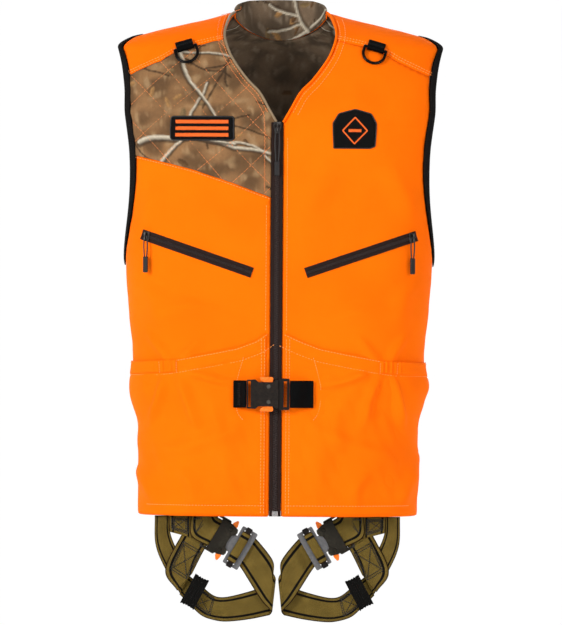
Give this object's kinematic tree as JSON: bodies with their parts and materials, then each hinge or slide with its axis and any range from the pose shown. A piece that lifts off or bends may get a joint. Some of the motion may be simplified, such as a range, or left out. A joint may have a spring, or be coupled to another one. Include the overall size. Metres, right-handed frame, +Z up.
{
  "type": "safety harness vest",
  "caption": "Zip-front hunting safety vest with sewn-in full-body harness, waist buckle, leg loops and slanted chest pockets.",
  "frame": {"origin": "centre of the neck at the height of the shoulder ridge", "axes": "+X to the wearer's left, +Y to the wearer's back, +Z up"},
  "size_m": [0.4516, 0.2705, 0.8592],
  "materials": {
    "orange_shell": "brushed polyester",
    "camo_fabric": "printed brushed polyester",
    "binding_tape": "ribbed tape",
    "zip_tape": "woven tape with moulded coil",
    "black_webbing": "woven polyester webbing",
    "olive_webbing": "woven polyester webbing with tracer stripes",
    "dark_webbing": "woven polyester webbing",
    "patch": "embroidered twill",
    "black_elastic": "knitted elastic",
    "pull_cord": "braided cord",
    "pull_tab": "moulded rubber",
    "slider_metal": "lacquered die casting",
    "ring_metal": "black coated steel",
    "buckle_dark": "dark anodised",
    "gunmetal": "gunmetal coating",
    "frame_grey": "satin",
    "lever_orange": "orange anodised",
    "rivet_steel": "satin"
  },
  "bodies": {
    "vest": {"shoulder_yoke_right": "orange_shell", "shoulder_yoke_left": "orange_shell", "chest_yoke_right": "camo_fabric", "front_panel_right": "orange_shell", "front_panel_left": "orange_shell", "back_panel": "orange_shell", "back_collar": "orange_shell", "camo_lining": "camo_fabric", "harness_shoulder_straps": "dark_webbing", "harness_waist_belt": "dark_webbing", "armhole_binding_right": "binding_tape", "armhole_binding_left": "binding_tape", "main_zip_tapes": "zip_tape", "main_zip_end_box": "slider_metal", "pocket_zip_tapes": "zip_tape", "cargo_pocket_right": "orange_shell", "cargo_pocket_left": "orange_shell", "shell_loop_bands": "orange_shell", "chest_patches": "patch", "d_ring_tabs": "black_webbing", "dorsal_tether_loop": "black_webbing", "waist_webbing_right": "black_webbing", "waist_webbing_left": "black_webbing", "waist_buckle_back_plate": "buckle_dark", "waist_buckle_front_plate": "buckle_dark", "waist_buckle_rivets": "rivet_steel", "waist_buckle_springs": "rivet_steel"},
    "main_slider": {"main_slider": "slider_metal"},
    "main_pull": {"main_pull_cord": "pull_cord", "main_pull_tab": "pull_tab"},
    "waist_tongue": {"waist_buckle_tongue": "buckle_dark"},
    "waist_pawl_upper": {"waist_pawl_upper": "lever_orange"},
    "waist_pawl_lower": {"waist_pawl_lower": "lever_orange"},
    "pocket_slider_right": {"pocket_slider_right": "slider_metal"},
    "pocket_pull_right": {"pocket_pull_cord_right": "pull_cord", "pocket_pull_tab_right": "pull_tab"},
    "d_ring_right": {"d_ring_right": "ring_metal"},
    "leg_loop_right": {"leg_riser_straps_right": "olive_webbing", "leg_strap_keeper_right": "black_elastic", "leg_thigh_strap_right": "olive_webbing", "leg_front_strap_right": "olive_webbing", "leg_buckle_housing_right": "gunmetal"},
    "leg_tongue_right": {"leg_buckle_tongue_right": "frame_grey"},
    "leg_adjuster_right": {"leg_adjuster_bar_right": "buckle_dark"},
    "leg_pawl_upper_right": {"leg_pawl_upper_right": "lever_orange"},
    "leg_pawl_lower_right": {"leg_pawl_lower_right": "lever_orange"},
    "pocket_slider_left": {"pocket_slider_left": "slider_metal"},
    "pocket_pull_left": {"pocket_pull_cord_left": "pull_cord", "pocket_pull_tab_left": "pull_tab"},
    "d_ring_left": {"d_ring_left": "ring_metal"},
    "leg_loop_left": {"leg_riser_straps_left": "olive_webbing", "leg_strap_keeper_left": "black_elastic", "leg_thigh_strap_left": "olive_webbing", "leg_front_strap_left": "olive_webbing", "leg_buckle_housing_left": "gunmetal"},
    "leg_tongue_left": {"leg_buckle_tongue_left": "frame_grey"},
    "leg_adjuster_left": {"leg_adjuster_bar_left": "buckle_dark"},
    "leg_pawl_upper_left": {"leg_pawl_upper_left": "lever_orange"},
    "leg_pawl_lower_left": {"leg_pawl_lower_left": "lever_orange"}
  },
  "joints": [
    {"name": "main_zip_slide", "type": "slide", "parent": "vest", "child": "main_slider", "axis": [0, 0, -1], "range_m": [0, 0.512]},
    {"name": "main_pull_swing", "type": "hinge", "parent": "main_slider", "child": "main_pull", "pos_m": [-0.0035, -0.1227, -0.1565], "axis": [-1, 0, 0], "range_deg": [0, 150]},
    {"name": "waist_tongue_release", "type": "slide", "parent": "vest", "child": "waist_tongue", "axis": [1, 0, 0], "range_m": [0, 0.025], "deforming": ["waist_webbing_left"]},
    {"name": "waist_pawl_upper_press", "type": "hinge", "parent": "vest", "child": "waist_pawl_upper", "pos_m": [-0.013, -0.1313, -0.51], "axis": [0, -1, 0], "range_deg": [0, 14], "stiffness_Nm_per_rad": 0.05, "springref_deg": -11.46, "deforming": ["waist_buckle_springs"]},
    {"name": "waist_pawl_lower_press", "type": "hinge", "parent": "vest", "child": "waist_pawl_lower", "pos_m": [-0.013, -0.1313, -0.531], "axis": [0, 1, 0], "range_deg": [0, 14], "stiffness_Nm_per_rad": 0.05, "springref_deg": -11.46},
    {"name": "pocket_zip_slide_right", "type": "hinge", "parent": "vest", "child": "pocket_slider_right", "pos_m": [-0.05888, 0.17389, -0.34727], "axis": [0.3266, 0, 0.9452], "range_deg": [0, 21.5]},
    {"name": "pocket_pull_swing_right", "type": "hinge", "parent": "pocket_slider_right", "child": "pocket_pull_right", "pos_m": [-0.18295, -0.09427, -0.30546], "axis": [-0.8242, 0.5664, 0], "range_deg": [0, 140]},
    {"name": "d_ring_swing_right", "type": "hinge", "parent": "vest", "child": "d_ring_right", "pos_m": [-0.13049, -0.07889, -0.04649], "axis": [-0.9597, -0.0236, -0.2799], "range_deg": [0, 140]},
    {"name": "leg_swing_right", "type": "hinge", "parent": "vest", "child": "leg_loop_right", "pos_m": [-0.1, -0.07, -0.69], "axis": [-1, 0, 0], "range_deg": [-40, 60]},
    {"name": "leg_tongue_release_right", "type": "slide", "parent": "leg_loop_right", "child": "leg_tongue_right", "axis": [0.866, 0, -0.5], "range_m": [0, 0.025], "deforming": ["leg_front_strap_right"]},
    {"name": "leg_adjuster_slide_right", "type": "slide", "parent": "leg_tongue_right", "child": "leg_adjuster_right", "axis": [0.866, 0, -0.5], "range_m": [-0.003, 0.003]},
    {"name": "leg_pawl_upper_press_right", "type": "hinge", "parent": "leg_loop_right", "child": "leg_pawl_upper_right", "pos_m": [-0.0631, -0.0763, -0.70732], "axis": [0, -1, 0], "range_deg": [0, 14], "stiffness_Nm_per_rad": 0.05, "springref_deg": -11.46},
    {"name": "leg_pawl_lower_press_right", "type": "hinge", "parent": "leg_loop_right", "child": "leg_pawl_lower_right", "pos_m": [-0.0789, -0.0763, -0.73468], "axis": [0, 1, 0], "range_deg": [0, 14], "stiffness_Nm_per_rad": 0.05, "springref_deg": -11.46},
    {"name": "pocket_zip_slide_left", "type": "hinge", "parent": "vest", "child": "pocket_slider_left", "pos_m": [0.05888, 0.17389, -0.34727], "axis": [0.3266, 0, -0.9452], "range_deg": [0, 21.5]},
    {"name": "pocket_pull_swing_left", "type": "hinge", "parent": "pocket_slider_left", "child": "pocket_pull_left", "pos_m": [0.18295, -0.09427, -0.30546], "axis": [-0.8242, -0.5664, 0], "range_deg": [0, 140]},
    {"name": "d_ring_swing_left", "type": "hinge", "parent": "vest", "child": "d_ring_left", "pos_m": [0.13049, -0.07889, -0.04649], "axis": [-0.9597, 0.0236, 0.2799], "range_deg": [0, 140]},
    {"name": "leg_swing_left", "type": "hinge", "parent": "vest", "child": "leg_loop_left", "pos_m": [0.1, -0.07, -0.69], "axis": [-1, 0, 0], "range_deg": [-40, 60]},
    {"name": "leg_tongue_release_left", "type": "slide", "parent": "leg_loop_left", "child": "leg_tongue_left", "axis": [-0.866, 0, -0.5], "range_m": [0, 0.025], "deforming": ["leg_front_strap_left"]},
    {"name": "leg_adjuster_slide_left", "type": "slide", "parent": "leg_tongue_left", "child": "leg_adjuster_left", "axis": [-0.866, 0, -0.5], "range_m": [-0.003, 0.003]},
    {"name": "leg_pawl_upper_press_left", "type": "hinge", "parent": "leg_loop_left", "child": "leg_pawl_upper_left", "pos_m": [0.0631, -0.0763, -0.70732], "axis": [0, 1, 0], "range_deg": [0, 14], "stiffness_Nm_per_rad": 0.05, "springref_deg": -11.46},
    {"name": "leg_pawl_lower_press_left", "type": "hinge", "parent": "leg_loop_left", "child": "leg_pawl_lower_left", "pos_m": [0.0789, -0.0763, -0.73468], "axis": [0, -1, 0], "range_deg": [0, 14], "stiffness_Nm_per_rad": 0.05, "springref_deg": -11.46}
  ]
}
